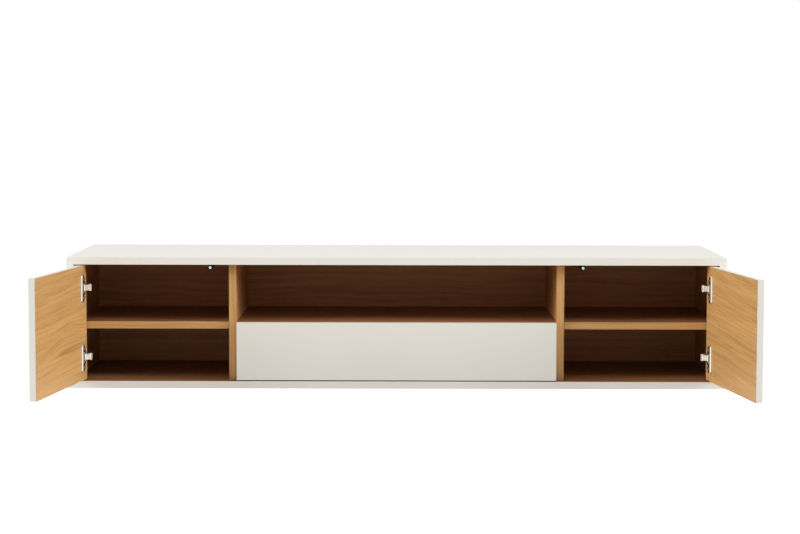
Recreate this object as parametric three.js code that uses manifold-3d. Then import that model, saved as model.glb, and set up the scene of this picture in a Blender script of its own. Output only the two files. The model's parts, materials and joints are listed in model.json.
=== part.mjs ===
// Floating media console with two doors, a drawer and an open niche.
// Millimetres, +Z up, +X to the viewer's right, and the front faces -Y.
// The origin lies on the wall, in the middle of the wall cleat's rear face.

import * as THREE from "three";
import { mergeVertices } from "three/addons/utils/BufferGeometryUtils.js";
import Module from "manifold-3d";

const wasm = await Module();
wasm.setup();

// Case, driving dimensions
const width = 1600;
const depth = 440;
const height = 320;
const board = 18;
const nicheWidth = 780;
const floorLevel = 161;
const reveal = 2.5;
const glue = 0.2;
const seat = 0.3;
const overrun = 2;

// Back and wall fixing, driving dimensions
const backBoard = 8;
const backGroove = 6;
const stretcher = { thick: 16, belowCleatTop: 33 };
const cleat = { thick: 17, tall: 70, capDrop: 57, endGap: 12, play: 0.6 };
const cleatScrew = { hole: 3, head: 5.5, sink: 3, drop: 12, fromEnd: 170, count: 4 };
const spacerTall = 60;

// Loose side shelves, driving dimensions
const shelf = { setback: 29, sidePlay: 0.8, backPlay: 3 };
const pin = { radius: 2.5, grip: 9, reach: 9, fromEdge: 50 };

// Doors, driving dimensions
const openAngle = THREE.MathUtils.degToRad(98);
const door = { hingeGap: 3, lining: 1, edgeRound: 2 };
const pivot = { fromSide: 17, fromFront: 10.5 };

// Cup hinges, driving dimensions
const hingeFromEnd = 55;
const cup = { radius: 17.5, deep: 11.5, wall: 2, fromEdge: 6, rim: 1.2, lip: 1 };
const wing = { tall: 65, wide: 13, offset: 9.5, cornerRound: 3 };
const link = { half: 8, thick: 2.6, eye: 2.4, pinRadius: 1.5, fromCorner: 15.2, sunk: 0.5 };
const arm = { sheet: 1.5, pivotReach: 22.2, ear: 3, face: 20, inner: 6, front: 48, back: 88, neck: 5 };
const plate = { setback: 57, half: 25, wide: 18, thick: 2, blockFront: 50, blockBack: 86 };

// Push latches, driving dimensions
const latch = { fromDivider: 45.5, drop: 8.7, barrel: 5.8, front: 24, long: 58, base: 2.4, baseWide: 24 };
const plunger = { radius: 3.5, play: 0.4, long: 44, fromDoor: 0.6, boreSpare: 4 };

// Drawer and its runners, driving dimensions
const frontPlay = 1.5;
const drawer = { board: 12, lift: 14, headroom: 21, rearGap: 29.8, bottom: 6, bottomRise: 10, groove: 5 };
const runner = { wide: 12.7, half: 22.5, sheet: 1.2, play: 0.5, front: 22, rearGap: 26, rise: 40 };
const member = { cabinetReach: 9.6, middleAt: 3.3, middleReach: 10.6, middleShort: 5 };

// Counts of flat facets
const roundSteps = 32;
const smallSteps = 16;
const arcSteps = 6;

// Case, derived places
const halfWidth = width / 2;
const innerHalf = halfWidth - board;
const innerTop = height - board;
const nicheHalf = nicheWidth / 2;
const dividerOuter = nicheHalf + board;
const setback = board + reveal;
const bay = stretcher.thick + cleat.thick + 2 * glue + cleat.play;
const backFace = depth - bay - backBoard;
const backRear = backFace + backBoard;
const shelfUnder = floorLevel - board;
const doorLow = board + reveal;
const doorHigh = innerTop - reveal;
const frontHalf = nicheHalf - frontPlay;
const doorHinge = innerHalf - door.hingeGap;
const doorFree = frontHalf + reveal;
const hingeLevels = { upper: doorHigh - hingeFromEnd, lower: doorLow + hingeFromEnd };

// Wall cleat, derived places
const cleatTop = innerTop - cleat.capDrop;
const cleatBase = cleatTop - cleat.tall;
const cleatRearTall = cleat.tall - cleat.thick;
const originHeight = cleatBase + cleatRearTall / 2;

// Materials
const whiteLacquer = { color: 0xe4e1d8, roughness: 0.45, metalness: 0 };
const oakVeneer = { color: 0xcf9f62, roughness: 0.55, metalness: 0 };
const rawWood = { color: 0xd9bf94, roughness: 0.75, metalness: 0 };
const drawerBoard = { color: 0xd8cdb8, roughness: 0.6, metalness: 0 };
const nickel = { color: 0xcfccc4, roughness: 0.3, metalness: 0.9 };
const zincSteel = { color: 0xb9bcbd, roughness: 0.4, metalness: 0.9 };
const blackPlastic = { color: 0x1b1b1b, roughness: 0.5, metalness: 0 };
const whitePlastic = { color: 0xf2f2ee, roughness: 0.4, metalness: 0 };

const cabinet = new THREE.Group();
cabinet.position.set(0, -depth, -originHeight);

// Adds one named sub-part to a group
function add(name, geometry, finish, parent = cabinet) {
  const mesh = new THREE.Mesh(geometry, new THREE.MeshStandardMaterial(finish));
  mesh.name = name;
  parent.add(mesh);
}

// A block between two places on each axis, in any order
function block(x, y, z) {
  const spans = [x, y, z].map(([from, to]) => [Math.min(from, to), Math.max(from, to)]);
  const sizes = spans.map(([from, to]) => to - from);
  const middles = spans.map(([from, to]) => (from + to) / 2);
  return new THREE.BoxGeometry(...sizes).translate(...middles);
}

// A flat outline of [x, y] points raised between two heights
function raised(points, [low, high]) {
  const outline = new THREE.Shape(points.map(([x, y]) => new THREE.Vector2(x, y)));
  const geometry = new THREE.ExtrudeGeometry(outline, { depth: high - low, bevelEnabled: false });
  return geometry.translate(0, 0, low);
}

// A flat outline of [x, z] points drawn back from one place on y to another
function drawnBack(points, [front, back]) {
  return raised(points, [-back, -front]).rotateX(Math.PI / 2);
}

// Points along an arc, from one angle to another
function arc(x, y, radius, from, to, steps = arcSteps) {
  return Array.from({ length: steps + 1 }, (_, i) => {
    const angle = from + ((to - from) * i) / steps;
    return [x + radius * Math.cos(angle), y + radius * Math.sin(angle)];
  });
}

// A cylinder along one axis, between two places on it
function rod(axis, radius, [from, to], place, steps = smallSteps) {
  const geometry = new THREE.CylinderGeometry(radius, radius, Math.abs(to - from), steps);
  const middle = (from + to) / 2;
  if (axis === "x") return geometry.rotateZ(Math.PI / 2).translate(middle, place[0], place[1]);
  if (axis === "z") return geometry.rotateX(Math.PI / 2).translate(place[0], place[1], middle);
  return geometry.translate(place[0], middle, place[1]);
}

// A geometry as a solid that can be cut and joined
function solid(geometry) {
  const bare = geometry.clone();
  bare.deleteAttribute("normal");
  bare.deleteAttribute("uv");
  const merged = mergeVertices(bare);
  const vertProperties = new Float32Array(merged.attributes.position.array);
  const triVerts = new Uint32Array(merged.index.array);
  return new wasm.Manifold(new wasm.Mesh({ numProp: 3, vertProperties, triVerts }));
}

// A solid back as a geometry
function geometryOf(manifold) {
  const mesh = manifold.getMesh();
  const geometry = new THREE.BufferGeometry();
  geometry.setAttribute("position", new THREE.BufferAttribute(mesh.vertProperties, mesh.numProp));
  geometry.setIndex(new THREE.BufferAttribute(mesh.triVerts, 1));
  geometry.computeVertexNormals();
  return geometry;
}

// One geometry with others cut out of it
function cut(geometry, ...tools) {
  return geometryOf(tools.reduce((body, tool) => body.subtract(solid(tool)), solid(geometry)));
}

// Several geometries joined into one
function join(first, ...others) {
  return geometryOf(others.reduce((body, other) => body.add(solid(other)), solid(first)));
}

const both = (half) => [-half, half];
const sides = [["left", -1], ["right", 1]];

// Top and bottom panels, each with a stopped groove for the back panel
const backHalf = innerHalf + backGroove - seat;
const backSlot = [backFace - seat, backRear + seat];
const slotHalf = backHalf + seat;
add("top_panel", cut(
  block(both(halfWidth), [0, depth], [innerTop, height]),
  block(both(slotHalf), backSlot, [innerTop - overrun, innerTop + backGroove]),
), whiteLacquer);
add("bottom_panel", cut(
  block(both(halfWidth), [0, depth], [0, board]),
  block(both(slotHalf), backSlot, [board - backGroove, board + overrun]),
), whiteLacquer);

// Shelf pins stand in blind holes in each side panel and divider
const shelfFront = shelf.setback;
const shelfRear = backFace - shelf.backPlay;
const pinPlaces = { front: shelfFront + pin.fromEdge, rear: shelfRear - pin.fromEdge };
const pinLevel = shelfUnder - seat - pin.radius;
function pinHoles(face, into) {
  const span = [face - into * overrun, face + into * (pin.grip + seat)];
  return Object.values(pinPlaces).map((place) => rod("x", pin.radius + seat, span, [place, pinLevel]));
}

// Side panels, with the back panel's groove
for (const [side, sign] of sides) {
  const face = sign * innerHalf;
  const panel = block([sign * halfWidth, face], [0, depth], [board + glue, innerTop - glue]);
  const groove = block([face - sign * overrun, face + sign * backGroove], backSlot, [0, height]);
  add(`${side}_side_panel`, cut(panel, groove, ...pinHoles(face, sign)), whiteLacquer);
}

// Back panel
add("back_panel", block(
  both(backHalf),
  [backFace, backRear],
  [board - backGroove + seat, innerTop + backGroove - seat],
), oakVeneer);

// Dividers stand behind the fronts
for (const [side, sign] of sides) {
  const panel = block(
    [sign * nicheHalf, sign * dividerOuter], [setback, backFace - glue], [board + glue, innerTop - glue]);
  add(`${side}_divider`, cut(panel, ...pinHoles(sign * dividerOuter, -sign)), oakVeneer);
}

// Niche shelf, fixed between the dividers above the drawer
add("niche_shelf", block(
  both(nicheHalf - glue),
  [setback, backFace - glue],
  [shelfUnder, floorLevel],
), oakVeneer);

// Loose side shelves on their pins
function pinAt(face, into, place) {
  return rod("x", pin.radius, [face - into * pin.reach, face + into * pin.grip], [place, pinLevel]);
}
for (const [side, sign] of sides) {
  add(`${side}_shelf`, block(
    [sign * (dividerOuter + shelf.sidePlay), sign * (innerHalf - shelf.sidePlay)],
    [shelfFront, shelfRear],
    [shelfUnder, floorLevel],
  ), oakVeneer);
  for (const [where, place] of Object.entries(pinPlaces)) {
    add(`${side}_shelf_pin_outer_${where}`, pinAt(sign * innerHalf, sign, place), zincSteel);
    add(`${side}_shelf_pin_inner_${where}`, pinAt(sign * dividerOuter, -sign, place), zincSteel);
  }
}

// Stretcher behind the back panel, and the spacer below it
const stretcherFace = backRear + glue;
const stretcherRear = stretcherFace + stretcher.thick;
add("rear_stretcher", block(
  both(innerHalf - glue),
  [stretcherFace, stretcherRear],
  [cleatTop - stretcher.belowCleatTop, innerTop - glue],
), rawWood);
add("lower_spacer", block(
  both(innerHalf - glue),
  [backRear + glue, depth],
  [board + glue, board + spacerTall],
), rawWood);

// A cleat's section, given as [y, z] points, carried along x
function alongX(section, half) {
  const upright = raised(section, both(half));
  return upright.rotateX(Math.PI / 2).rotateZ(Math.PI / 2);
}

// The cabinet's cleat hooks behind the wall cleat, on a slope of one in one
const cleatHalf = innerHalf - cleat.endGap;
const cabinetCleatFront = stretcherRear + glue;
const cabinetCleatRear = cabinetCleatFront + cleat.thick;
const wallCleatFront = depth - cleat.thick;
const slopeAt = (y) => cleatTop - (y - wallCleatFront);
const hookGap = seat * Math.SQRT2;
add("cabinet_cleat", alongX([
  [cabinetCleatFront, slopeAt(cabinetCleatFront) + hookGap],
  [cabinetCleatRear, slopeAt(cabinetCleatRear) + hookGap],
  [cabinetCleatRear, innerTop - glue],
  [cabinetCleatFront, innerTop - glue],
], cleatHalf), rawWood);

// The wall cleat has countersunk holes for the wall screws
const screwLevel = cleatBase + (cleat.tall - cleat.thick) / 2 - cleatScrew.drop;
const screwSpan = 2 * (cleatHalf - cleatScrew.fromEnd);
const screwHoles = Array.from({ length: cleatScrew.count }, (_, i) => {
  const x = screwSpan * (i / (cleatScrew.count - 1) - 1 / 2);
  const hole = rod("y", cleatScrew.hole, [wallCleatFront - overrun, depth + overrun], [x, screwLevel]);
  const headEnd = wallCleatFront + cleatScrew.sink;
  const head = rod("y", cleatScrew.head, [wallCleatFront - overrun, headEnd], [x, screwLevel]);
  return [hole, head];
}).flat();
add("wall_cleat", cut(alongX([
  [wallCleatFront, cleatBase],
  [depth, cleatBase],
  [depth, slopeAt(depth)],
  [wallCleatFront, cleatTop],
], cleatHalf), ...screwHoles), rawWood);

// Hinge places in plan: how far in from the side panel, and how far behind the front
const cupCentre = door.hingeGap + cup.fromEdge + cup.radius;
const cupPin = { inward: door.hingeGap + link.fromCorner, back: board - link.sunk };
const pinOffset = { inward: cupPin.inward - pivot.fromSide, back: cupPin.back - pivot.fromFront };
const pinReach = Math.hypot(pinOffset.inward, pinOffset.back);
const pinAngle = Math.atan2(pinOffset.back, pinOffset.inward);
function roundPivot(reach, angle) {
  return {
    inward: pivot.fromSide + reach * Math.cos(angle),
    back: pivot.fromFront + reach * Math.sin(angle),
  };
}
const armPin = roundPivot(arm.pivotReach, pinAngle - openAngle / 2);
const openPin = roundPivot(pinReach, pinAngle - openAngle);

// The door's plan outline, with its outer upright edges eased
const quarterTurn = Math.PI / 2;
const halfTurn = Math.PI;
const fullTurn = 2 * Math.PI;
const panelThick = board - door.lining - seat;
function doorOutline(sign) {
  const near = doorFree + door.edgeRound;
  const far = doorHinge - door.edgeRound;
  const points = [
    ...arc(near, door.edgeRound, door.edgeRound, -halfTurn, -quarterTurn),
    ...arc(far, door.edgeRound, door.edgeRound, -quarterTurn, 0),
    [doorHinge, panelThick],
    [doorFree, panelThick],
  ];
  return points.map(([x, y]) => [sign * x, y]);
}

// A cup with its rim and its screw wings, opening towards the back of a closed door
function cupBody(sign, level) {
  const x = sign * (innerHalf - cupCentre);
  const outline = [
    [0, -cup.deep], [cup.radius, -cup.deep], [cup.radius, seat], [cup.radius + cup.rim, seat],
    [cup.radius + cup.rim, seat + cup.lip], [cup.radius - cup.wall, seat + cup.lip],
    [cup.radius - cup.wall, cup.wall - cup.deep], [0, cup.wall - cup.deep],
  ].map(([radius, along]) => new THREE.Vector2(radius, along));
  const bowl = new THREE.LatheGeometry(outline, roundSteps).translate(x, board, level);
  const wingX = x - sign * wing.offset;
  const nearX = wingX + (sign * wing.wide) / 2;
  const farX = wingX - (sign * wing.wide) / 2;
  const half = wing.tall / 2;
  const round = wing.cornerRound;
  const rimX = x + sign * cup.rim;
  const wings = drawnBack([
    [farX, level - half + round], [farX + sign * round, level - half],
    [nearX - sign * round, level - half], [nearX, level - half + round],
    [rimX, level - cup.radius], [rimX, level + cup.radius],
    [nearX, level + half - round], [nearX - sign * round, level + half],
    [farX + sign * round, level + half], [farX, level + half - round],
  ], [board + seat, board + seat + cup.lip]);
  const mouthSpan = [board - overrun, board + overrun + cup.lip];
  const mouth = rod("y", cup.radius - cup.wall, mouthSpan, [x, level], roundSteps);
  return join(bowl, cut(wings, mouth));
}

// The link between the cup's pin and the arm's pin, drawn where the open door holds it
function linkOutline(toX) {
  const along = Math.atan2(armPin.back - openPin.back, armPin.inward - openPin.inward);
  const spread = Math.asin(link.thick / 2 / link.eye);
  const eye = (at, facing) =>
    arc(at.inward, at.back, link.eye, facing + spread, facing + fullTurn - spread);
  return [...eye(openPin, along), ...eye(armPin, along - halfTurn)].map(([x, y]) => [toX(x), y]);
}

// The arm: a bent channel whose two ears hold the link's pin
function armBody(toX, level) {
  const inside = link.half + seat;
  const half = inside + arm.sheet;
  const outline = [
    [arm.inner, arm.back], [arm.face, arm.back], [arm.face, arm.front],
    [armPin.inward + arm.ear, armPin.back + arm.neck],
    ...arc(armPin.inward, armPin.back, arm.ear, 0, -halfTurn),
    [arm.inner, arm.front - arm.neck],
  ].map(([x, y]) => [toX(x), y]);
  const pastEars = armPin.inward + arm.ear + overrun;
  const neckBack = armPin.back + arm.neck - arm.sheet / 2;
  const hollow = [
    [-overrun, arm.back + overrun], [arm.face - arm.sheet, arm.back + overrun],
    [arm.face - arm.sheet, arm.front - arm.sheet / 2],
    [armPin.inward + arm.ear - arm.sheet, neckBack],
    [pastEars, neckBack], [pastEars, 0], [-overrun, 0],
  ].map(([x, y]) => [toX(x), y]);
  const through = [level - half - overrun, level + half + overrun];
  return cut(
    raised(outline, [level - half, level + half]),
    raised(hollow, [level - inside, level + inside]),
    rod("z", link.pinRadius + seat, through, [toX(armPin.inward), armPin.back]),
  );
}

// The mounting plate: a cross-plate on the side panel and a block inside the arm
function plateBody(toX, level) {
  const foot = block(
    [toX(seat), toX(seat + plate.thick)],
    [plate.setback - plate.wide / 2, plate.setback + plate.wide / 2],
    [level - plate.half, level + plate.half]);
  const riser = block(
    [toX(seat), toX(arm.face - arm.sheet - seat)],
    [plate.blockFront, plate.blockBack],
    [level - link.half, level + link.half]);
  return join(foot, riser);
}

for (const [side, sign] of sides) {
  const toX = (inFromSide) => sign * (innerHalf - inFromSide);
  const leaf = new THREE.Group();
  leaf.position.set(toX(pivot.fromSide), pivot.fromFront, 0);
  leaf.rotation.z = sign * openAngle;
  cabinet.add(leaf);
  const onLeaf = (name, geometry, finish) => {
    add(name, geometry.translate(-toX(pivot.fromSide), -pivot.fromFront, 0), finish, leaf);
  };
  const levels = Object.values(hingeLevels);
  const boring = (level, from, to) =>
    rod("y", cup.radius + seat, [from, to], [toX(cupCentre), level], roundSteps);

  // Door panel and the veneered lining on its inner face, bored for the cups
  onLeaf(`${side}_door_panel`, cut(
    raised(doorOutline(sign), [doorLow, doorHigh]),
    ...levels.map((level) => boring(level, board - cup.deep - seat, board + overrun)),
  ), whiteLacquer);
  onLeaf(`${side}_door_lining`, cut(
    block([sign * doorFree, sign * doorHinge], [board - door.lining, board], [doorLow, doorHigh]),
    ...levels.map((level) => boring(level, 0, board + overrun)),
  ), oakVeneer);

  // Two hinges to a door
  for (const [where, level] of Object.entries(hingeLevels)) {
    const name = `${side}_${where}_hinge`;
    onLeaf(`${name}_cup`, cupBody(sign, level), nickel);
    const pinHalf = link.half + seat + arm.sheet;
    add(`${name}_link`, join(
      raised(linkOutline(toX), [level - link.half, level + link.half]),
      rod("z", link.pinRadius, [level - pinHalf, level + pinHalf], [toX(armPin.inward), armPin.back]),
    ), nickel);
    add(`${name}_arm`, armBody(toX, level), nickel);
    add(`${name}_plate`, plateBody(toX, level), nickel);
  }
}

// Push latches under the top panel, near the free edge of each door
const latchLevel = innerTop - latch.drop;
const plungerFront = board + plunger.fromDoor;
for (const [side, sign] of sides) {
  const x = sign * (dividerOuter + latch.fromDivider);
  const towards = x - sign * latch.baseWide;
  const bore = plunger.radius + plunger.play;
  const boreEnd = plungerFront + plunger.long + plunger.boreSpare;
  add(`${side}_latch_housing`, cut(
    join(
      rod("y", latch.barrel, [latch.front, latch.front + latch.long], [x, latchLevel], roundSteps),
      block([x + sign * latch.barrel, towards], [latch.front, latch.front + latch.long],
        [innerTop - glue - latch.base, innerTop - glue]),
      block([x + sign * bore, x - sign * bore], [latch.front, latch.front + latch.long],
        [latchLevel + bore, innerTop - glue]),
    ),
    rod("y", bore, [latch.front - overrun, boreEnd], [x, latchLevel], roundSteps),
  ), blackPlastic);
  add(`${side}_latch_plunger`,
    rod("y", plunger.radius, [plungerFront, plungerFront + plunger.long], [x, latchLevel], roundSteps),
    whitePlastic);
}

// Drawer: an applied front, and a box with its bottom held in grooves
const boxHalf = nicheHalf - runner.wide;
const boxInner = boxHalf - drawer.board;
const boxFront = board + glue;
const boxRear = backFace - drawer.rearGap;
const boxLow = board + drawer.lift;
const boxHigh = shelfUnder - drawer.headroom;
const bottomSpan = [boxLow + drawer.bottomRise, boxLow + drawer.bottomRise + drawer.bottom];
const grooveSpan = [bottomSpan[0] - seat, bottomSpan[1] + seat];
add("drawer_front", block(both(frontHalf), [0, board], [doorLow, floorLevel]), whiteLacquer);
for (const [side, sign] of sides) {
  add(`drawer_${side}_side`, cut(
    block([sign * boxInner, sign * boxHalf], [boxFront, boxRear], [boxLow, boxHigh]),
    block([sign * (boxInner - overrun), sign * (boxInner + drawer.groove)], [0, depth], grooveSpan),
  ), drawerBoard);
}
const frontInside = boxFront + drawer.board;
const backInside = boxRear - drawer.board;
const acrossBox = both(boxInner - glue);
add("drawer_inner_front", cut(
  block(acrossBox, [boxFront, frontInside], [boxLow, boxHigh]),
  block(both(halfWidth), [frontInside - drawer.groove, frontInside + overrun], grooveSpan),
), drawerBoard);
add("drawer_back", cut(
  block(acrossBox, [backInside, boxRear], [boxLow, boxHigh]),
  block(both(halfWidth), [backInside - overrun, backInside + drawer.groove], grooveSpan),
), drawerBoard);
add("drawer_bottom", block(
  both(boxInner + drawer.groove - seat),
  [frontInside - drawer.groove + seat, backInside + drawer.groove - seat],
  bottomSpan,
), drawerBoard);

// A runner member: a web at one distance from the divider, and two flanges that reach to another
function channel(sign, web, reach, half, span) {
  const rim = half - runner.sheet;
  const inside = web + Math.sign(reach - web) * runner.sheet;
  const outline = [
    [web, -half], [reach, -half], [reach, -rim], [inside, -rim],
    [inside, rim], [reach, rim], [reach, half], [web, half],
  ];
  return drawnBack(outline.map(([x, z]) => [sign * (nicheHalf - x), boxLow + runner.rise + z]), span);
}

// Runners: three nested members at each side of the drawer
const middleHalf = runner.half - runner.sheet - runner.play;
const drawerHalf = middleHalf - runner.sheet - runner.play;
const runnerSpan = [runner.front, backFace - runner.rearGap];
const middleSpan = [runnerSpan[0] + member.middleShort, runnerSpan[1] - member.middleShort];
const drawerWeb = runner.wide - seat;
const drawerReach = member.middleAt + runner.sheet + runner.play;
for (const [side, sign] of sides) {
  add(`${side}_runner_cabinet_member`,
    channel(sign, seat, member.cabinetReach, runner.half, runnerSpan), zincSteel);
  add(`${side}_runner_middle_member`,
    channel(sign, member.middleAt, member.middleReach, middleHalf, middleSpan), zincSteel);
  add(`${side}_runner_drawer_member`,
    channel(sign, drawerWeb, drawerReach, drawerHalf, runnerSpan), zincSteel);
}

export default cabinet;
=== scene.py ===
# %% [markdown]
# # A floating media console
# This low cabinet hangs on a wall. Its case is lacquered white outside and lined with oak inside, with two
# doors, a drawer and an open niche. The packed model already holds every piece at its real size and place,
# with its joints. What it lacks is what the eye reads first: eased edges, grain, the sheen of lacquer and
# the screws. A model could be finished by painting pictures on it. Here everything is procedural instead,
# because a formula stays sharp from any distance and follows the real size of the piece.

# %% Load the frame
import json
import math

import bmesh
import bpy
from mathutils import Matrix, Vector

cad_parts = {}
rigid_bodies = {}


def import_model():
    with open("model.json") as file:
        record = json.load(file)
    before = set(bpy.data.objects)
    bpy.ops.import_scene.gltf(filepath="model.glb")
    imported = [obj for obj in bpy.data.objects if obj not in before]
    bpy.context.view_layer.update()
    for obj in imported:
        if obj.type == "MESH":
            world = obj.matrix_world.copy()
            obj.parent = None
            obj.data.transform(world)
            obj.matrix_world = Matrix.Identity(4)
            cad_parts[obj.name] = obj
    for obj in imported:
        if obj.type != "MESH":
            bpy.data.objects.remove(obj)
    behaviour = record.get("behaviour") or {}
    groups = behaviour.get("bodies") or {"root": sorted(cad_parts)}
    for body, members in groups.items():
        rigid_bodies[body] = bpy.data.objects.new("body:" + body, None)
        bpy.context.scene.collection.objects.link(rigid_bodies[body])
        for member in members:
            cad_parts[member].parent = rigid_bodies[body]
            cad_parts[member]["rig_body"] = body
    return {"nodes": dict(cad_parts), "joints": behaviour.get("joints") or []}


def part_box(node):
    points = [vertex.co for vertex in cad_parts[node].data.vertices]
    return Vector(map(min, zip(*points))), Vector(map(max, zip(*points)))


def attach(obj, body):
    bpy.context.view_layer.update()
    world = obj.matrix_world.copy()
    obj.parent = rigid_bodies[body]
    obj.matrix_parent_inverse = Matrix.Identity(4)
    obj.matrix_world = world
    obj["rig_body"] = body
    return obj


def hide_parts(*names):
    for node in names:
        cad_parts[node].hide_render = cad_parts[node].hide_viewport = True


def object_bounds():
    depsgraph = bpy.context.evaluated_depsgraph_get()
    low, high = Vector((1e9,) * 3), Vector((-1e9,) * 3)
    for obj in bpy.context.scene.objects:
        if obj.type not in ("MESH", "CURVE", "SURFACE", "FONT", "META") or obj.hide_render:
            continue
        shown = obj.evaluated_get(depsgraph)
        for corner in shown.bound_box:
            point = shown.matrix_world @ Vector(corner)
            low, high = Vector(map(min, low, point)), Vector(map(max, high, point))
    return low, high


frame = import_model()
nodes = frame["nodes"]
cad_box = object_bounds()
print(len(nodes), "nodes, from", *(tuple(round(v, 4) for v in corner) for corner in cad_box))

# %% [markdown]
# ## Places from the frame
# A new piece has to sit where the solid model says. Its place could be typed in, but then it would be wrong
# as soon as the model changed, so it is read from the frame. The sides have an inner face, the case has a
# front, and each door turns about a known axis by a known angle.

# %% The case's main places
SIDES = {"left": -1, "right": 1}
inner_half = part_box("right_side_panel")[0].x
case_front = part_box("top_panel")[0].y
hinge_joints = {side: next(j for j in frame["joints"] if j["name"] == f"{side}_door_hinge") for side in SIDES}
open_angle = math.radians(max(map(abs, hinge_joints["left"]["range_deg"])))
print("inner half width", round(inner_half, 4), "front at", round(case_front, 4))
print("a door opens by", round(math.degrees(open_angle)), "degrees")

# %% [markdown]
# ## Shader sums in plain Python
# A material is a tree of nodes, and a formula with ten steps is ten Math nodes. Building them one by one
# hides the formula. The small class below wraps an output and gives it the usual signs, so a sum reads as
# a sum. The reflected forms are there because `1 - mask` starts with a plain number.

# %% A value that can be added and multiplied
class Value:
    """An output of a node, with the signs of arithmetic."""
    def __init__(self, tree, socket):
        self.tree = tree
        self.socket = socket

    def math(self, operation, *others):
        return self.tree.node("ShaderNodeMath", {"operation": operation}, dict(enumerate([self, *others])))

    def __add__(self, other):
        return self.math("ADD", other)

    def __sub__(self, other):
        return self.math("SUBTRACT", other)

    def __rsub__(self, other):
        return self.tree.number(other).math("SUBTRACT", self)

    def __mul__(self, other):
        return self.math("MULTIPLY", other)

    def __truediv__(self, other):
        return self.math("DIVIDE", other)

    def __pow__(self, other):
        return self.math("POWER", other)

    def __abs__(self):
        return self.math("ABSOLUTE")

    def at_least(self, low):
        return self.math("MAXIMUM", low)

    def at_most(self, high):
        return self.math("MINIMUM", high)

    def between(self, low, high):
        """Runs from low to high as this value runs from zero to one."""
        return self * (high - low) + low

    __radd__ = __add__
    __rmul__ = __mul__


print("sums ready:", [name for name in vars(Value) if name.startswith("__r")])

# %% [markdown]
# ## One way to make a node
# Every tree is built by the same moves: add a node, set how it works, then feed its sockets. Each kind of
# node could have a helper of its own. Here one method serves them all, so there is one thing to learn. It
# makes the settings first, because they decide which sockets a node has. Then it hands back the outputs
# that were asked for, or the first one.

# %% A tree and its nodes
class Tree:
    """The nodes of a finish or of the surroundings."""
    def __init__(self, tree):
        self.tree = tree

    def node(self, kind, settings, inputs, *outputs):
        """Adds a node. Returns the outputs asked for, one alone or several in a list."""
        node = self.tree.nodes.new(kind)
        for key, value in settings.items():
            setattr(node, key, value)
        for key, value in inputs.items():
            self.feed(node.inputs[key], value)
        wanted = [Value(self, node.outputs[key]) for key in outputs or (0,)]
        return wanted if len(wanted) > 1 else wanted[0]

    def feed(self, socket, value):
        """Links a value to a socket, or sets the socket to a plain number, colour or vector."""
        if isinstance(value, Value):
            self.tree.links.new(value.socket, socket)
        else:
            socket.default_value = value

    def number(self, value):
        """A plain number as a value, for the reflected forms."""
        return self.node("ShaderNodeMath", {"operation": "ADD"}, {0: value, 1: 0})


print("a tree can", [name for name in vars(Tree) if not name.startswith("_")])

# %% [markdown]
# ## A finish
# A finish is the material of one real surface. Its patterns could follow an unwrapped map of each piece,
# but boards and pressings need none. They start from the place on the piece, in metres, so a grain of
# three millimetres is three millimetres everywhere. The place can be turned, so that a door that stands
# open keeps its grain along its width. Relief goes through a Bump node, and colours through Mix and Vector
# Math, because a Math node would turn them grey.

# %% A finish and its patterns
# A Mix node has sockets for every kind of data. These are the numbers of the ones for colours.
MIX_SHARE, MIX_FIRST, MIX_SECOND, MIX_RESULT = 0, 6, 7, 2


class Finish(Tree):
    """A material whose shader has some sockets set and others fed by patterns."""
    def __init__(self, name, **constants):
        self.material = bpy.data.materials.new(name)
        self.material.use_nodes = True
        super().__init__(self.material.node_tree)
        self.shader = self.tree.nodes["Principled BSDF"]
        self.paint(**constants)

    def paint(self, **values):
        """Sets or feeds the shader's sockets. A space in a socket's name is written as _ here."""
        for socket, value in values.items():
            self.feed(self.shader.inputs[socket.replace("_", " ")], value)

    def place(self, turn=0):
        """The place on the piece along x, y and z, turned about z."""
        spot = self.node("ShaderNodeTexCoord", {}, {}, "Object")
        turned = self.node("ShaderNodeMapping", {}, {"Vector": spot, "Rotation": (0, 0, turn)})
        return self.node("ShaderNodeSeparateXYZ", {}, {"Vector": turned}, "X", "Y", "Z")

    def noise(self, point, detail=2.0, roughness=0.5):
        """A soft random value around a half, at a point given by three values."""
        vector = self.node("ShaderNodeCombineXYZ", {}, dict(zip("XYZ", point)))
        inputs = {"Vector": vector, "Scale": 1.0, "Detail": detail, "Roughness": roughness}
        return self.node("ShaderNodeTexNoise", {}, inputs)

    def mix(self, share, first, second):
        """A blend of two colours, by a share of the second."""
        inputs = {MIX_SHARE: share, MIX_FIRST: (*first, 1), MIX_SECOND: (*second, 1)}
        return self.node("ShaderNodeMix", {"data_type": "RGBA"}, inputs, MIX_RESULT)

    def tint(self, color, value):
        """A colour made lighter or darker by a value."""
        return self.node("ShaderNodeVectorMath", {"operation": "SCALE"}, {"Vector": color, "Scale": value})

    def bump(self, height, distance, strength=1.0):
        """Relief from a height, in metres at a height of one."""
        inputs = {"Strength": strength, "Distance": distance, "Height": height}
        self.paint(Normal=self.node("ShaderNodeBump", {}, inputs))


print("a finish can", [name for name in vars(Finish) if not name.startswith("_")])

# %% Colours as they are seen
def color(red, green, blue):
    """A colour as a screen shows it, from 0 to 255, as the amounts of light that a shader needs."""
    shares = [value / 255 for value in (red, green, blue)]
    return tuple(s / 12.92 if s <= 0.04045 else ((s + 0.055) / 1.055) ** 2.4 for s in shares)


print("mid grey is", round(color(128, 128, 128)[0], 3), "of the light")

# %% [markdown]
# ## White satin lacquer
# The outside is wood-fibre board sprayed with a warm white lacquer. One flat white would do from afar, but
# sprayed lacquer is never a perfect mirror: it dries with a faint orange-peel relief and clouds of slightly
# more or less sheen. Both are far too small to see as shapes, but they soften the reflections, which is
# what makes the white look sprayed. Their scales are in patches to a metre.

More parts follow.
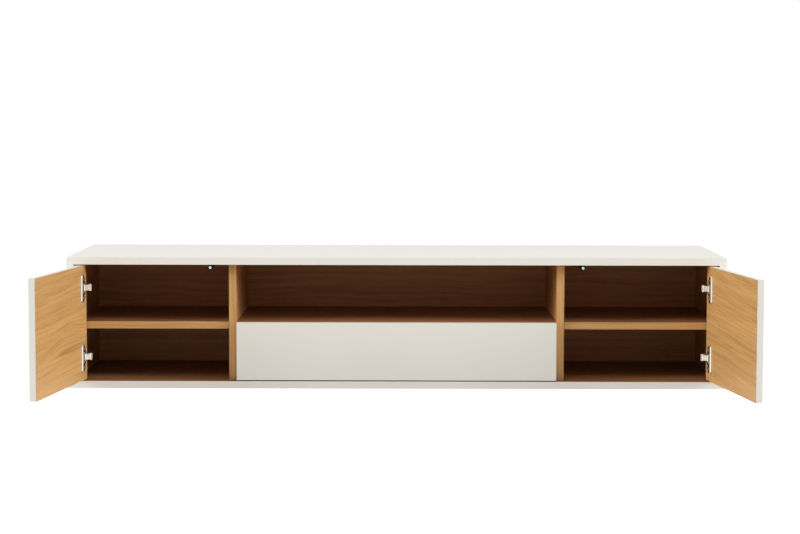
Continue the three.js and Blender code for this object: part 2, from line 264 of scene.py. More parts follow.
# %% Lacquer
MM = 0.001
LACQUER_WHITE = color(240, 236, 226)
CLOUDS = 4
PEEL = 700


def lacquer(name):
    """Sprayed lacquer, with clouds in its sheen and the relief of orange peel."""
    finish = Finish(name, IOR=1.47)
    x, y, z = finish.place()
    cloud = finish.noise((x * CLOUDS, y * CLOUDS, z * CLOUDS), detail=3)
    peel = finish.noise((x * PEEL, y * PEEL, z * PEEL), detail=1)
    finish.paint(Base_Color=finish.tint(LACQUER_WHITE, cloud.between(0.97, 1.03)),
                 Roughness=cloud.between(0.27, 0.37))
    finish.bump(peel, distance=0.03 * MM, strength=0.5)
    return finish.material


white_lacquer = lacquer("white_lacquer")
print("made", white_lacquer.name, "from", len(white_lacquer.node_tree.nodes), "nodes")

# %% [markdown]
# ## Oak veneer
# Veneer is sliced along the trunk, so its figure is the year rings cut lengthwise. Where the slice passes
# near the heart the rings run out into long arches, and beside them they are nearly straight lines. One
# could fake that with stretched noise. Here the rings are real ones: the distance from a leaning heart,
# bent by slow noise. Each ring is a darker line, and in oak that line is a row of pores, so short dashes
# along the grain break it up. Fibres and broad streaks lie over it. Most patterns are noise drawn out along
# the grain, so a table gives how often each one changes in a metre along the grain and across it.

# %% The heart of a log and the patterns round it
PATTERNS = {"slow bend": (4.5, 16), "small bend": (20, 70), "dashes": (120, 1900), "fibres": (7, 420),
            "streaks": (1.6, 110), "clouds": (1.2, 22), "ring drift": (0.7, 120), "ring strength": (6, 130)}
BENDS = {"slow bend": 4, "small bend": 0.5}
RING_SHARPNESS = 2.2
SEED_SPREAD = 17


class Wood(Finish):
    """A finish whose place is counted from a log's heart: along the grain, across it, into the board."""
    def __init__(self, name, heart, along, turn):
        super().__init__(name, Specular_IOR_Level=0.35)
        axes = dict(zip("xyz", self.place(turn)))
        self.length, self.width, self.depth = (axes[axis] - start for axis, start in zip(along, heart))
        self.seed = (heart[0] + heart[1]) * SEED_SPREAD

    def pattern(self, kind, across, detail=1, roughness=0.5):
        """Noise drawn out along the grain."""
        lengthwise, crosswise = PATTERNS[kind]
        point = (self.length * lengthwise + self.seed, across * crosswise, self.depth * crosswise)
        return self.noise(point, detail, roughness)

    def bend(self, wave, belt):
        """How far the rings stray. A belt across the width, given by its middle and reach, strays more."""
        slow, small = ((self.pattern(kind, self.width) - 0.5) * wave * share for kind, share in BENDS.items())
        bent = slow + small
        if belt:
            middle, reach, more = belt
            bent = bent * ((1 - abs(self.width - middle) / reach).at_least(0) * more + 1)
        return bent

    def rings(self, across, lean, ring, drifts):
        """Dark lines, of varied strength and spacing, where the year rings meet the face."""
        sunk = self.length * lean
        distance = (across * across + sunk * sunk + self.depth * self.depth) ** 0.5
        along, out = PATTERNS["ring drift"]
        drift = self.noise((distance * out + self.seed, self.length * along, self.seed), detail=1)
        line = ((distance / ring + drift * drifts).math("PINGPONG", 0.5) * 2) ** RING_SHARPNESS
        along, out = PATTERNS["ring strength"]
        strength = self.noise((self.length * along + self.seed, distance * out, self.seed), detail=1)
        return line * strength.between(-0.3, 1.3)


print("wood patterns:", *PATTERNS)

# %% Wood of one log
RING = 3 * MM
WAVE = 7 * MM
CREST = (9, 4.9)
SHARES = {"lines": 0.5, "lines in pores": 0.8, "pores": 0.16, "fibres": 1.1, "streaks": 1.1}
STREAK_MIDDLE = 0.42


def wood(name, light, dark, heart, along="xyz", turn=0, ring=RING, drifts=2.0, lean=0.045, tilt=0.0,
         wave=WAVE, belt=None, lines=1.0, streaks=1.0, contrast=1.0, pores=1.0, tone=1.0, roughness=0.5):
    """Wood with its grain along the first of three axes and its width along the second, round a heart.

    A ring and a wave are lengths: from one ring to the next, and how far the rings stray. Drifts is the
    number of rings by which their spacing varies. A lean takes the heart deeper along the board, and a
    tilt takes it aside. Lines, streaks, pores, contrast and tone are plain oak's at one.
    """
    grain = Wood(name, heart, along, turn)
    across = grain.width + grain.length * tilt + grain.bend(wave, belt)
    line = grain.rings(across, lean, ring, drifts)
    fibre = grain.pattern("fibres", across, detail=3, roughness=0.65)
    streak = grain.pattern("streaks", across, detail=2)
    cloud = grain.pattern("clouds", across)
    # Only the crests of the dashes are pores, so they are stretched and then cut off at zero and one.
    pore = (grain.pattern("dashes", grain.width) * CREST[0] - CREST[1]).at_least(0).at_most(1) * pores
    # A line is darkest in its pores. Fibres and streaks make the wood lighter as well as darker.
    figure = line * (SHARES["lines"] + pore * SHARES["lines in pores"]) * lines + pore * SHARES["pores"]
    figure = figure + (fibre - 0.5) * SHARES["fibres"]
    figure = figure + (streak - STREAK_MIDDLE) * SHARES["streaks"] * streaks
    mixed = grain.mix(figure * contrast, light, dark)
    grain.paint(Base_Color=grain.tint(mixed, cloud.between(0.87, 1.15) * tone),
                Roughness=roughness + pore * 0.14)
    grain.bump(1 - pore, distance=0.04 * MM, strength=0.5)
    return grain.material


print("rings are", round(RING / MM), "mm apart and stray by", round(WAVE / MM), "mm unless told otherwise")

# %% [markdown]
# ## Which way the grain runs
# A cabinet maker lays the veneer before the boards are cut. On long boards the grain runs along the width,
# on upright ones it runs upwards, and the front edges carry a separate band of veneer. One oak for all
# would repeat its arches from board to board, so every board has its own leaf: the heart of its log lies a
# little way behind the board's face, at its own spot. Deep in the cabinet the light has bounced from oak to
# oak, which leaves it dim and red. The boards in there get a redder and darker oak as painted shade, and the
# ones that face upwards get the deepest painted shade, because the lamps alone would leave them too pale.

# %% Oak for a board
OAK = dict(light=color(223, 173, 109), dark=color(170, 116, 60))
# The inner oak is redder and the three tones darken it: painted shade for the dim red light deep in the
# cabinet. Boards that face upwards get the darkest.
INNER_OAK_PAINTED_SHADE = dict(light=color(223, 160, 103), dark=color(170, 107, 57))
HEART_DEPTH = 20 * MM
INNER_PAINTED_SHADE = 0.76
FLOOR_PAINTED_SHADE = 0.41
BACK_PAINTED_SHADE = 0.84


def veneer(node, along, off=(0, 0), turn=0, **look):
    """The oak of one board, with the heart of its log behind the board's middle, moved along and across."""
    low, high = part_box(node)
    middle = Matrix.Rotation(turn, 4, "Z") @ ((low + high) / 2)
    spot = [getattr(middle, axis) + shift for axis, shift in zip(along, (*off, HEART_DEPTH))]
    return wood(f"{node}_oak", heart=spot, along=along, turn=turn, **(OAK | look))


def inner_veneer_with_painted_shade(node, along, off=(0, 0), tone=INNER_PAINTED_SHADE):
    """The oak of a board inside the case, made redder and darker as painted shade."""
    return veneer(node, along, off, tone=tone, **INNER_OAK_PAINTED_SHADE)


print("a log's heart is", round(HEART_DEPTH / MM), "mm behind the middle of its board")

# %% Oak for the boards inside
# Each inner board has painted shade in its colour, the ones that face upwards the most.
oak = {
    "top_panel": inner_veneer_with_painted_shade("top_panel", "xyz", off=(0.5, 0.06)),
    "bottom_panel": inner_veneer_with_painted_shade("bottom_panel", "xyz", off=(-0.7, 0.11), tone=FLOOR_PAINTED_SHADE),
    "niche_shelf": inner_veneer_with_painted_shade("niche_shelf", "xyz", off=(0.9, 0.05), tone=FLOOR_PAINTED_SHADE),
    "back_panel": inner_veneer_with_painted_shade("back_panel", "xzy", off=(-1.4, 0.3), tone=BACK_PAINTED_SHADE),
}
for side, sign in SIDES.items():
    oak[f"{side}_side_panel"] = inner_veneer_with_painted_shade(f"{side}_side_panel", "zyx", off=(0.4, sign * 0.08))
    oak[f"{side}_divider"] = inner_veneer_with_painted_shade(f"{side}_divider", "zyx", off=(0.3, sign * 0.13))
    oak[f"{side}_shelf"] = inner_veneer_with_painted_shade(f"{side}_shelf", "xyz", off=(sign * 0.6, 0.04), tone=FLOOR_PAINTED_SHADE)
print("oak inside:", *oak)

# %% Oak for the doors and the front edges
door_looks = {
    "left": {"off": (-0.12, -0.05), "tilt": 0.05, "wave": 2.5 * MM, "belt": (36 * MM, 50 * MM, 3.5),
             "ring": 3.6 * MM, "lines": 1.4, "streaks": 0.65, "contrast": 1.15, "tone": 0.94},
    "right": {"off": (0.3, 0.3), "tilt": -0.07, "wave": 1.5 * MM, "ring": 4.4 * MM, "drifts": 0.9,
              "lines": 1.7, "streaks": 0.7, "contrast": 1.3, "tone": 0.91},
}
for side, look in door_looks.items():
    oak[f"{side}_door_lining"] = veneer(f"{side}_door_lining", "xzy", turn=-SIDES[side] * open_angle, **look)
BAND_HEART = (2, 0.4, 0.3)
upright_band = wood("upright_band_oak", **OAK, heart=BAND_HEART, along="zxy", contrast=0.8, tone=0.86)
level_band = wood("level_band_oak", **OAK, heart=BAND_HEART, along="xzy", contrast=0.8, tone=0.83)
print("oak outside:", *(f"{side}_door_lining" for side in door_looks), upright_band.name, level_band.name)

# %% [markdown]
# ## The plain woods
# What nobody sees is cheaper: planed pine for the cleats, and foil on particle board for the drawer's box.
# Both could have a recipe of their own. The oak's recipe serves again with other settings: pine has sharp
# even rings and no pores, and the foil is printed with a pale, quiet grain.

# %% Pine and drawer foil
pine = wood("planed_pine", light=color(228, 200, 152), dark=color(176, 126, 72), heart=(0.3, 0.06, 0.02),
            along="xzy", ring=4 * MM, lean=0.03, contrast=0.8, pores=0, roughness=0.62)
FOIL = dict(light=color(222, 212, 192), dark=color(196, 180, 150), contrast=0.7, pores=0.4, roughness=0.5)
foil = {
    "across": wood("drawer_foil_across", **FOIL, heart=(0.2, 0.02, 0.3), along="xzy"),
    "along": wood("drawer_foil_along", **FOIL, heart=(0.3, 0.02, 0.5), along="yzx"),
}
print("made", pine.name, *(material.name for material in foil.values()))

# %% [markdown]
# ## Plated steel
# Hinges are nickel plated, which is warm and fairly bright. Runners, pins and screws are zinc plated, which
# is cooler and shows patches of crystals. One even grey metal would look like polished chrome. The plating
# takes up the rolling marks of the sheet, so the sheen is made a little uneven along one direction.

# %% Nickel and zinc
ROLLING = (400, 9000)


def plated(name, tone, roughness, patch_size):
    """Plated sheet, with patches of crystals and the marks of rolling."""
    finish = Finish(name, Metallic=1.0)
    x, y, z = finish.place()
    patch = finish.noise((x / patch_size, y / patch_size, z / patch_size))
    rolled = finish.noise((x * ROLLING[0], y * ROLLING[0], z * ROLLING[1]))
    finish.paint(Base_Color=finish.tint(tone, patch.between(0.88, 1.12)),
                 Roughness=roughness + patch.between(-0.06, 0.06) + rolled.between(-0.05, 0.05))
    finish.bump(rolled, distance=0.01 * MM, strength=0.4)
    return finish.material


nickel = plated("nickel_plate", color(218, 213, 203), roughness=0.25, patch_size=6 * MM)
zinc = plated("zinc_plate", color(202, 206, 210), roughness=0.38, patch_size=3 * MM)
print("made", nickel.name, zinc.name)

# %% [markdown]
# ## Moulded plastic
# The latches are moulded. Their grain could be cut into the mesh, but it is a twentieth of a millimetre
# deep and relief in the finish is enough. A mould is spark eroded, which leaves a fine even grain on the
# black housing, and polished where the white plunger slides.

# %% Plastics
SPARK_GRAIN = 2600
STAINS = 60


def plastic(name, tone, roughness, grain, specular=0.5):
    """Moulded plastic, with the fine grain of its mould."""
    finish = Finish(name, Specular_IOR_Level=specular)
    x, y, z = finish.place()
    fine = finish.noise((x * SPARK_GRAIN, y * SPARK_GRAIN, z * SPARK_GRAIN), detail=1)
    cloud = finish.noise((x * STAINS, y * STAINS, z * STAINS))
    finish.paint(Base_Color=finish.tint(tone, cloud.between(0.9, 1.1)), Roughness=roughness + fine * 0.1)
    finish.bump(fine, distance=grain, strength=0.7)
    return finish.material


black_plastic = plastic("black_plastic", color(20, 20, 21), roughness=0.5, grain=0.04 * MM, specular=0.2)
white_plastic = plastic("white_plastic", color(240, 239, 232), roughness=0.3, grain=0.01 * MM)
print("made", black_plastic.name, white_plastic.name)

# %% [markdown]
# ## Easing an edge
# No board has a truly sharp edge: a sharp one chips, and lacquer runs off it. The maker takes about a
# millimetre off with sandpaper, and that small round is what catches the light as a thin bright line. A
# Bevel modifier could do it, but it would also work on the loose triangles that the frame's solids are made
# of. So each board is copied, its triangles are merged into whole faces, and then its corners are bevelled.
# Only the narrow new faces are shaded smooth, so the large ones stay flat.

# %% Copy and merge
def merged(node):
    """A copy of a frame piece with its triangles joined into whole faces."""
    shape = bmesh.new()
    shape.from_mesh(nodes[node].data)
    bmesh.ops.remove_doubles(shape, verts=shape.verts, dist=0.01 * MM)
    bmesh.ops.dissolve_limit(shape, angle_limit=math.radians(1), verts=shape.verts, edges=shape.edges)
    return shape


sample = merged("top_panel")
print("the top panel has", len(sample.faces), "whole faces and", len(sample.edges), "edges")
sample.free()

# %% Bevel the corners
CORNER = math.radians(40)


def ease(shape, width):
    """Rounds every edge that turns by more than a corner does."""
    sharp = [edge for edge in shape.edges if edge.calc_face_angle(0) > CORNER]
    bmesh.ops.bevel(shape, geom=sharp, offset=width, offset_type="OFFSET", affect="EDGES",
                    segments=3, profile=0.5, material=-1, clamp_overlap=True)
    for face in shape.faces:
        is_narrow = face.calc_area() < face.calc_perimeter() * width / 2
        face.smooth = is_narrow
    return shape


print("an edge is a corner from", round(math.degrees(CORNER)), "degrees")

# %% Turn a shape into a piece
FACING = 0.99


def finished(name, shape, body, slot, *finishes, stands_for=()):
    """Makes a shape a piece that rides on a body and may stand for nodes of the frame."""
    mesh = bpy.data.meshes.new(name)
    shape.to_mesh(mesh)
    shape.free()
    piece = bpy.data.objects.new(name, mesh)
    bpy.context.scene.collection.objects.link(piece)
    for finish in finishes:
        mesh.materials.append(finish)
    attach(piece, body)
    if stands_for:
        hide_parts(*stands_for)
    print(name, len(mesh.polygons), "faces")


def stand_in(node, shape, slot, *finishes):
    """Makes a reshaped copy of a frame piece stand for it, on the same body."""
    finished(f"{node}_eased", shape, nodes[node]["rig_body"], slot, *finishes, stands_for=[node])


def eased(node, width, slot, *finishes, facing=None, second=None):
    """Makes a frame piece with eased edges. Faces that look one way can carry a second finish."""
    shape = ease(merged(node), width)
    for face in shape.faces:
        if facing and face.normal.dot(Vector(facing)) > FACING:
            face.material_index = 1
    stand_in(node, shape, slot, *finishes, *([second] if second else []))


print("a face looks one way within", round(math.degrees(math.acos(FACING))), "degrees")

# %% [markdown]
# ## The case
# The case is four boards, white except for the face that looks into the cabinet, which is oak. The oak
# could be a thin sheet laid on each board, but then the white would stop at a seam. Instead the inner face
# is picked by the way it looks, and the white goes on round the eased edge as sprayed lacquer does. The
# dividers, shelves and back are oak all over, with a band on the edge that faces the front.

# %% Top, bottom and sides
BOARD_EASE = 0.6 * MM
inner_ways = {"top_panel": (0, 0, -1), "bottom_panel": (0, 0, 1), "left_side_panel": (1, 0, 0),
              "right_side_panel": (-1, 0, 0)}
for node, facing in inner_ways.items():
    eased(node, BOARD_EASE, "white_lacquer", white_lacquer, facing=facing, second=oak[node])

# %% Dividers, shelves and back
VENEER_EASE = 0.5 * MM
bands = {"left_divider": upright_band, "right_divider": upright_band, "left_shelf": level_band,
         "right_shelf": level_band, "niche_shelf": level_band}
for node, band in bands.items():
    eased(node, VENEER_EASE, "oak_veneer", oak[node], facing=(0, -1, 0), second=band)
eased("back_panel", VENEER_EASE, "oak_veneer", oak["back_panel"])

# %% [markdown]
# ## The doors
# A door is a white board with a thin oak lining on its inner face. It could be made as the case's boards
# are, as one board in two finishes. The lining stays a sheet of its own, as it is on the bench, so its edge
# shows as a fine line of oak beside the white.

# %% Door panels and linings
LINING_EASE = 0.2 * MM
for side in SIDES:
    eased(f"{side}_door_panel", BOARD_EASE, "white_lacquer", white_lacquer)
    eased(f"{side}_door_lining", LINING_EASE, "oak_veneer", oak[f"{side}_door_lining"])

# %% [markdown]
# ## Screws
# A countersunk screw shows as a disc with a cross in it. The cross could be painted, but light falls into a
# real recess. The head starts as a disc: one inset makes its shoulder, a second one is pulled to the shape
# of a cross by a formula in the angle, and a third sinks it. All screws of a fitting share one mesh.

# %% The outline of a cross
HEAD_CORNERS = 24
# The corners of an arm's tip are one corner of the head away from the arm's middle line.
TIP = 2 * math.pi / HEAD_CORNERS


def cross_reach(angle, reach):
    """How far a cross reaches from its middle in a direction."""
    quarter = math.pi / 2
    off_arm = min(angle % quarter, quarter - angle % quarter)
    is_tip = off_arm < 1.5 * TIP
    return reach / math.cos(off_arm) if is_tip else reach * math.tan(TIP) / math.sin(off_arm)


print("a cross of reach 1 has arms", round(2 * math.tan(TIP), 2), "wide")

# %% One screw head
HEAD = {"shoulder": 0.12, "domed": 0.08, "land": 0.2, "cross": 0.6, "wall": 0.03, "sunk": 0.35}


def screw_head(radius):
    """A screw head at the origin, looking up. Its parts are shares of its radius."""
    head = bmesh.new()
    bmesh.ops.create_circle(head, cap_ends=True, segments=HEAD_CORNERS, radius=radius)
    face = head.faces[:][0]
    bmesh.ops.inset_region(head, faces=[face], use_boundary=True, thickness=radius * HEAD["shoulder"],
                           depth=radius * HEAD["domed"])
    bmesh.ops.inset_region(head, faces=[face], thickness=radius * HEAD["land"])
    for vert in face.verts:
        angle = math.atan2(vert.co.y, vert.co.x)
        reach = cross_reach(angle, radius * HEAD["cross"])
        vert.co.x = reach * math.cos(angle)
        vert.co.y = reach * math.sin(angle)
    bmesh.ops.inset_region(head, faces=[face], thickness=radius * HEAD["wall"], depth=-radius * HEAD["sunk"])
    mesh = bpy.data.meshes.new("screw_head")
    head.to_mesh(mesh)
    head.free()
    return mesh


sample = screw_head(4 * MM)
print("a screw head has", len(sample.polygons), "faces")
bpy.data.meshes.remove(sample)

# %% Screws for a fitting
def screws(name, body, radius, facing, points, after=Matrix()):
    """Makes a group of screw heads that look one way, moved together by a matrix."""
    group = bmesh.new()
    head = screw_head(radius)
    turned = Vector(facing).to_track_quat("Z", "Y").to_matrix().to_4x4()
    for point in points:
        first = len(group.verts)
        group.from_mesh(head)
        group.verts.ensure_lookup_table()
        spot = after @ Matrix.Translation(point) @ turned
        bmesh.ops.transform(group, matrix=spot, verts=group.verts[first:])
    bpy.data.meshes.remove(head)
    finished(name, group, body, "zinc_steel", zinc)


print("screws are finished as", zinc.name)

# %% [markdown]
# ## The concealed hinges
# A cup hinge is pressed from nickel-plated sheet: a cup let into the door with two screw wings, a link, an
# arm and a plate on the side panel. It could be modelled anew, but the frame's solids have the right places
# and only a plain outline. Pressed sheet has soft corners, so the same easing with a small width does it.
# The flange round the cup has a straight far edge, and moving a few corners gives that outline. Its wings
# and far edge stand proud of the middle, where the arm comes down when the door is shut: cuts part the two,
# and one extrusion lifts them. The far edge leans back a little, as a pressed edge does, and so it catches
# the light from the front. All this is easiest while the door is shut, so one matrix swings it open after.

# %% Places on a hinge
CUP_IN = 26.5 * MM


def inside(sign, inward, back, level):
    """A point given by how far it lies in from a side panel and behind the front, at a height."""
    return Vector((sign * (inner_half - inward), case_front + back, level))


def swing(side):
    """The matrix that takes a fitting from the shut door to the open one."""
    pivot = Matrix.Translation(Vector(hinge_joints[side]["pos_m"]))
    return pivot @ Matrix.Rotation(SIDES[side] * open_angle, 4, "Z") @ pivot.inverted()


def measured(sign, level, point):
    """How far a point of a shut door's hinge lies beyond the cup's middle, and above or below it."""
    return inner_half - CUP_IN - sign * point.x, abs(point.z - level)


print("a right cup's middle, door shut", tuple(round(v, 4) for v in inside(1, CUP_IN, 0, 0)))

# %% Flange outline
flange = {"ring": 18 * MM, "past_ring": 0.8, "far_edge": 23 * MM, "tips_from": 25 * MM,
          "far_longer": 7 * MM, "near_longer": 5 * MM}
lifted = {"far_strip": 20.5 * MM, "beside_cup": (10 * MM, 12 * MM), "above_cup": 19.2 * MM, "by": 3.2 * MM,
          "draft": 1.0 * MM}


def widen_flange(shape, sign, level):
    """Straightens the flange's far edge and moves the tips of its wings along with it."""
    for vert in shape.verts:
        beyond, up = measured(sign, level, vert.co)
        if up > flange["tips_from"]:
            beyond += flange["far_longer"] if beyond > lifted["beside_cup"][0] else flange["near_longer"]
        elif beyond > flange["past_ring"] * flange["ring"] and math.hypot(beyond, up) > flange["ring"]:
            beyond = flange["far_edge"]
        else:
            continue
        vert.co.x = sign * (inner_half - CUP_IN - beyond)


print("the far edge is", round(flange["far_edge"] / MM, 1), "mm beyond the cup's middle")

# %% Cuts round the raised area
def cut_wings(shape, sign, level):
    """Cuts the flange where its raised area ends."""
    side_in, side_up = lifted["beside_cup"]
    cuts = [(Vector((sign * (inner_half - CUP_IN - beyond), 0, 0)), Vector((1, 0, 0)))
            for beyond in (lifted["far_strip"], side_in)]
    cuts += [(Vector((0, 0, level + way * up)), Vector((0, 0, 1)))
             for up in (side_up, lifted["above_cup"]) for way in (-1, 1)]
    for place, way in cuts:
        bmesh.ops.bisect_plane(shape, geom=shape.verts[:] + shape.edges[:] + shape.faces[:], plane_co=place,
                               plane_no=way, dist=0.001 * MM)


print("the far strip begins", round(lifted["far_strip"] / MM, 1), "mm beyond the cup's middle")

# %% Raised wings
NEAR = 0.1 * MM


def raise_wings(shape, sign, level):
    """Lifts the wings and the far edge, and returns the place of their top behind the cabinet's front."""
    side_in, side_up = lifted["beside_cup"]
    top = max(vert.co.y for vert in shape.verts)
    area = []
    for face in shape.faces:
        middle = face.calc_center_median()
        beyond, up = measured(sign, level, middle)
        beside_cup = beyond > side_in and up > side_up
        is_raised = beside_cup or beyond > lifted["far_strip"] or up > lifted["above_cup"]
        if is_raised and middle.y > top - NEAR and face.normal.y > FACING:
            area.append(face)
    for part in bmesh.ops.extrude_face_region(shape, geom=area)["geom"]:
        if isinstance(part, bmesh.types.BMVert):
            beyond, up = measured(sign, level, part.co)
            part.co.y += lifted["by"]
            if beyond > lifted["far_strip"] + NEAR:
                part.co.x += sign * lifted["draft"]
    return top + lifted["by"] - case_front


print("the wings are lifted by", round(lifted["by"] / MM, 1), "mm")

# %% A cup, an arm and a link
SHEET_EASE = 0.25 * MM
SLIM = 0.86


def hinge_cup(node, side, level):
    """Shapes a cup as on a shut door and swings it open. Returns how far back its wings reach."""
    shape = merged(node)
    bmesh.ops.transform(shape, matrix=swing(side).inverted(), verts=shape.verts)
    widen_flange(shape, SIDES[side], level)
    cut_wings(shape, SIDES[side], level)
    wing_top = raise_wings(shape, SIDES[side], level)
    bmesh.ops.transform(shape, matrix=swing(side), verts=shape.verts)
    stand_in(node, ease(shape, SHEET_EASE), "nickel_steel", nickel)
    return wing_top


def slimmed(node, level):
    """Draws an arm or link in towards the hinge's middle height."""
    shape = merged(node)
    bmesh.ops.scale(shape, vec=(1, 1, SLIM), space=Matrix.Translation((0, 0, -level)), verts=shape.verts)
    stand_in(node, ease(shape, SHEET_EASE), "nickel_steel", nickel)


print("arms and links are", SLIM, "as tall as in the frame")

# %% Hinges and their screws
wing_screw = {"radius": 3.4 * MM, "beyond_cup": 13 * MM, "apart": 45 * MM}
plate_screw = {"radius": 3.2 * MM, "apart": 32 * MM, "behind_front": 57 * MM, "in_from_side": 2.3 * MM}
arm_screw = {"radius": 3.0 * MM, "in_from_side": 20 * MM, "behind_front": (58 * MM, 78 * MM)}


def pair(level, apart):
    """The heights of two screws, one below a height and one above it."""
    return level - apart / 2, level + apart / 2


for side, sign in SIDES.items():
    for where in ("upper", "lower"):
        name = f"{side}_{where}_hinge"
        low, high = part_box(f"{name}_plate")
        level = (low.z + high.z) / 2
        wing_top = hinge_cup(f"{name}_cup", side, level)
        slimmed(f"{name}_arm", level)
        slimmed(f"{name}_link", level)
        eased(f"{name}_plate", SHEET_EASE, "nickel_steel", nickel)
        points = [inside(sign, CUP_IN + wing_screw["beyond_cup"], wing_top, height)
                  for height in pair(level, wing_screw["apart"])]
        screws(f"{name}_cup_screws", f"{side}_door", wing_screw["radius"], (0, 1, 0), points,
               after=swing(side))
        points = [inside(sign, plate_screw["in_from_side"], plate_screw["behind_front"], height)
                  for height in pair(level, plate_screw["apart"])]
        screws(f"{name}_plate_screws", "cabinet", plate_screw["radius"], (-sign, 0, 0), points)
        points = [inside(sign, arm_screw["in_from_side"], back, level) for back in arm_screw["behind_front"]]
        screws(f"{name}_arm_screws", "cabinet", arm_screw["radius"], (-sign, 0, 0), points)

# %% [markdown]
# ## The push latches
# Under the top board, near the free edge of each door, sits a push latch: a black housing screwed to the
# board, and a white plunger that a closed door presses. A plain pin would do at this size, but the plunger
# runs a little thinner towards its nose, as a moulded pin must to leave its mould, and an inset pulled
# back gives that for one line. Its front carries a small plated disc that a magnet would hold.

# %% The plunger's tapered nose
nose = {"narrower": 0.3 * MM, "long": 5.0 * MM, "ease": 0.3 * MM}


def plunger(node):
    """Gives a plunger its taper and its plated front."""
    shape = merged(node)
    front = min(shape.faces, key=lambda face: face.calc_center_median().y)
    shoulder = front.verts[:]
    bmesh.ops.inset_region(shape, faces=[front], thickness=nose["narrower"])
    bmesh.ops.translate(shape, verts=shoulder, vec=(0, nose["long"], 0))
    front.material_index = 1
    stand_in(node, ease(shape, nose["ease"]), "white_plastic", white_plastic, nickel)


print("a nose narrows by", round(nose["narrower"] / MM, 1), "mm in", round(nose["long"] / MM, 1), "mm")

# %% Latches and their screws
HOUSING_EASE = 0.4 * MM
latch_screw = {"radius": 2.6 * MM, "from_edge": 9 * MM, "under_base": 2.4 * MM, "shares": (0.2, 0.8)}
for side, sign in SIDES.items():
    eased(f"{side}_latch_housing", HOUSING_EASE, "black_plastic", black_plastic)
    plunger(f"{side}_latch_plunger")
    low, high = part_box(f"{side}_latch_housing")
    inner_edge = low.x if sign > 0 else high.x
    across, level = inner_edge + sign * latch_screw["from_edge"], high.z - latch_screw["under_base"]
    points = [Vector((across, low.y + share * (high.y - low.y), level)) for share in latch_screw["shares"]]
    screws(f"{side}_latch_screws", "cabinet", latch_screw["radius"], (0, 0, -1), points)

# %% [markdown]
# ## The drawer
# A white front hides the niche shelf's edge. Behind it a foil-covered box runs on two telescopic runners,
# which show only when the drawer is out. They could stay as the frame has them, but a drawer is made to be
# opened, so they get the same easing. The foil's grain runs along each board, which takes two finishes.

# %% Drawer front, box and runners
eased("drawer_front", BOARD_EASE, "white_lacquer", white_lacquer)
for node in ("drawer_inner_front", "drawer_back", "drawer_bottom"):
    eased(node, VENEER_EASE, "drawer_board", foil["across"])
for side in SIDES:
    eased(f"drawer_{side}_side", VENEER_EASE, "drawer_board", foil["along"])
    for member in ("cabinet", "middle", "drawer"):
        eased(f"{side}_runner_{member}_member", SHEET_EASE, "zinc_steel", zinc)

# %% [markdown]
# ## Hanging on the wall
# A stretcher, two sloping cleats and a spacer stand behind the back panel. They are planed and left raw,
# with more broken edges than a lacquered board has, so they are eased wider. The cabinet's cleat is screwed
# to the stretcher. The shelf pins are so small that a new finish on the frame's own pins is enough.

# %% Cleats, spacer and pins
RAW_EASE = 0.8 * MM
cleat_screw = {"radius": 4 * MM, "count": 6, "below_top": 16 * MM, "let_in": 0.2 * MM}
for node in ("rear_stretcher", "cabinet_cleat", "wall_cleat", "lower_spacer"):
    eased(node, RAW_EASE, "raw_wood", pine)
low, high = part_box("cabinet_cleat")
step = (high.x - low.x) / cleat_screw["count"]
back, level = high.y - cleat_screw["let_in"], high.z - cleat_screw["below_top"]
points = [Vector((low.x + step * (i + 0.5), back, level)) for i in range(cleat_screw["count"])]
screws("cabinet_cleat_screws", "cabinet", cleat_screw["radius"], (0, 1, 0), points)
pins = [piece for node, piece in nodes.items() if "_pin_" in node]
for piece in pins:
    piece.data.materials.clear()
    piece.data.materials.append(zinc)
print(len(pins), "pins zinc plated")

# %% [markdown]
# ## The camera
# The picture was taken from nearly straight ahead with a long lens, a little above the top. A camera could
# be aimed by eye. This one was found by matching the edges of the case to the picture, which gives its
# place, its lens and its turns, down to a lean of a tenth of a degree.

# %% Camera
# Places are in metres, turns in radians and the sensor's width in millimetres.
PICTURE_WIDTH = 800
FOCAL_PIXELS = 2018.4
SENSOR_WIDTH = 36
EYE = (0.0135, -5.309, 0.4974)
yaw, pitch, roll = 0.00109, 0.08226, 0.0019
camera_data = bpy.data.cameras.new("camera")
camera_data.sensor_width = SENSOR_WIDTH
camera_data.lens = FOCAL_PIXELS / PICTURE_WIDTH * SENSOR_WIDTH
camera = bpy.data.objects.new("camera", camera_data)
bpy.context.scene.collection.objects.link(camera)
camera.matrix_world = (
    Matrix.Translation(EYE) @ Matrix.Rotation(yaw, 4, "Z")
    @ Matrix.Rotation(math.pi / 2 - pitch, 4, "X") @ Matrix.Rotation(roll, 4, "Z")
)
bpy.context.scene.camera = camera
print("lens", round(camera_data.lens, 1), "mm")

# %% [markdown]
# ## Light
# Two tall soft boxes stand far out to the left and the right, and a wide one hangs above the front. A lamp
# by the camera would be simpler, but it would light the backs of the compartments. Light from the side
# reaches the doors and every front edge, and leaves those backs dark brown. The tall boxes end well ahead
# of the cabinet, because a lamp straight beside it would be mirrored in the top, which then turns blank
# white when seen from the other side. The surroundings are white to the eye and to reflections, and give
# only a little light of their own.

# %% Soft boxes
AIM = Vector((0, -0.3, 0))


def soft_box(name, place, size, power):
    """A rectangular lamp that faces the cabinet."""
    data = bpy.data.lights.new(name, "AREA")
    data.shape = "RECTANGLE"
    data.size, data.size_y = size
    data.energy = power
    lamp = bpy.data.objects.new(name, data)
    bpy.context.scene.collection.objects.link(lamp)
    away = Vector(place) - AIM
    lamp.matrix_world = Matrix.Translation(place) @ away.to_track_quat("Z", "Y").to_matrix().to_4x4()
    print(name, power, "watts")


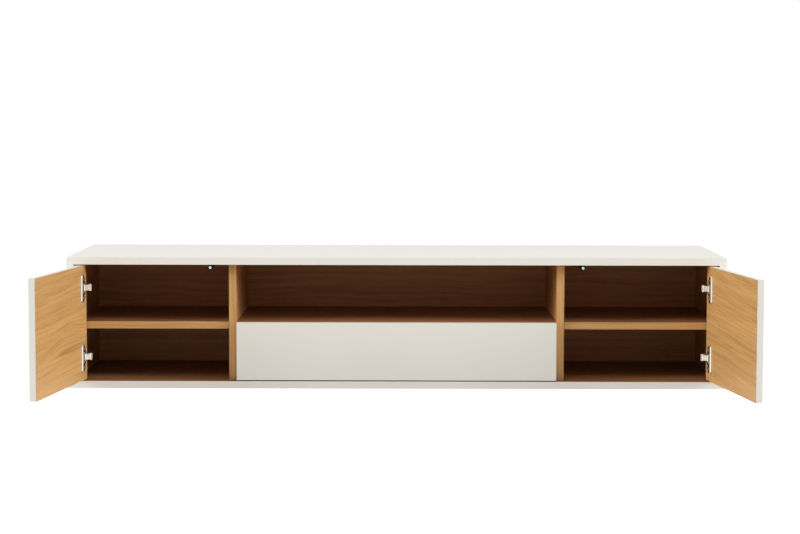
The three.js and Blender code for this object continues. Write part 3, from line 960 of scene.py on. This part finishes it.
for side, sign in SIDES.items():
    soft_box(f"{side}_box", place=(sign * 7.0, -2.4, 2.6), size=(2.4, 3.5), power=438)
soft_box("front_box", place=(0, -2.5, 3.2), size=(4.5, 1.8), power=52)

# %% Surroundings
WHITE = (1, 1, 1, 1)
FILL = 0.13


def seen(tree):
    """A mask that is one for what the eye and reflections see, and zero for light that falls on things."""
    rays = ("Is Camera Ray", "Is Glossy Ray", "Is Transmission Ray")
    eye, gloss, glass = tree.node("ShaderNodeLightPath", {}, {}, *rays)
    return eye.math("MAXIMUM", gloss).math("MAXIMUM", glass)


studio = bpy.data.worlds.new("studio")
studio.use_nodes = True
bpy.context.scene.world = studio
studio.node_tree.nodes.remove(studio.node_tree.nodes["Background"])
around = Tree(studio.node_tree)
glow = around.node("ShaderNodeBackground", {}, {"Color": WHITE, "Strength": FILL})
backdrop = around.node("ShaderNodeBackground", {}, {"Color": WHITE, "Strength": 1})
chosen = around.node("ShaderNodeMixShader", {}, {0: seen(around), 1: glow, 2: backdrop})
around.feed(studio.node_tree.nodes["World Output"].inputs["Surface"], chosen)
print("the surroundings give", FILL, "and show as 1")

# %% [markdown]
# ## The floor
# The cabinet hangs in the air, so its shadow falls on a floor well below it. A white floor under soft light
# shows as grey, and its far edge as a line. This one glows by itself, to the eye only: fully far out, where
# it melts into the white around it, and faintly below the cabinet, so that the shadow stays. The mask
# between the two is a smooth step over the distance from a line under the cabinet.

# %% Floor
FLOOR_HALF = 30
FLOOR_DROP = 0.55
MASK = {"half_line": 0.5, "ahead": 0.45, "half_band": 0.1, "fades_over": 0.75, "least": 0.3}
floor_shape = bmesh.new()
bmesh.ops.create_grid(floor_shape, x_segments=1, y_segments=1, size=FLOOR_HALF)
bmesh.ops.translate(floor_shape, verts=floor_shape.verts, vec=(0, 0, cad_box[0].z - FLOOR_DROP))
floor_mesh = bpy.data.meshes.new("floor")
floor_shape.to_mesh(floor_mesh)
floor_shape.free()
floor = bpy.data.objects.new("floor", floor_mesh)
bpy.context.scene.collection.objects.link(floor)
print("floor at", round(cad_box[0].z - FLOOR_DROP, 3))

# %% The floor's glow
pale = Finish("pale_floor", Base_Color=(0.6, 0.6, 0.6, 1), Roughness=0.9, Emission_Strength=1)
x, y, z = pale.place()
beside = (abs(x) - MASK["half_line"]).at_least(0)
ahead = (abs(y + MASK["ahead"]) - MASK["half_band"]).at_least(0)
away = ((beside * beside + ahead * ahead) ** 0.5 / MASK["fades_over"]).at_most(1)
lift = (away * away * (3 - away * 2)).between(MASK["least"], 1)
pale.paint(Emission_Color=pale.tint((1, 1, 1), lift * seen(pale)))
floor_mesh.materials.append(pale.material)
print("the floor glows from", MASK["least"], "to 1")

# %% [markdown]
# ## Last things
# The picture is shown without a film look, so that a colour comes out as it is written.

# %% Finish
bpy.context.scene.view_settings.view_transform = "Standard"
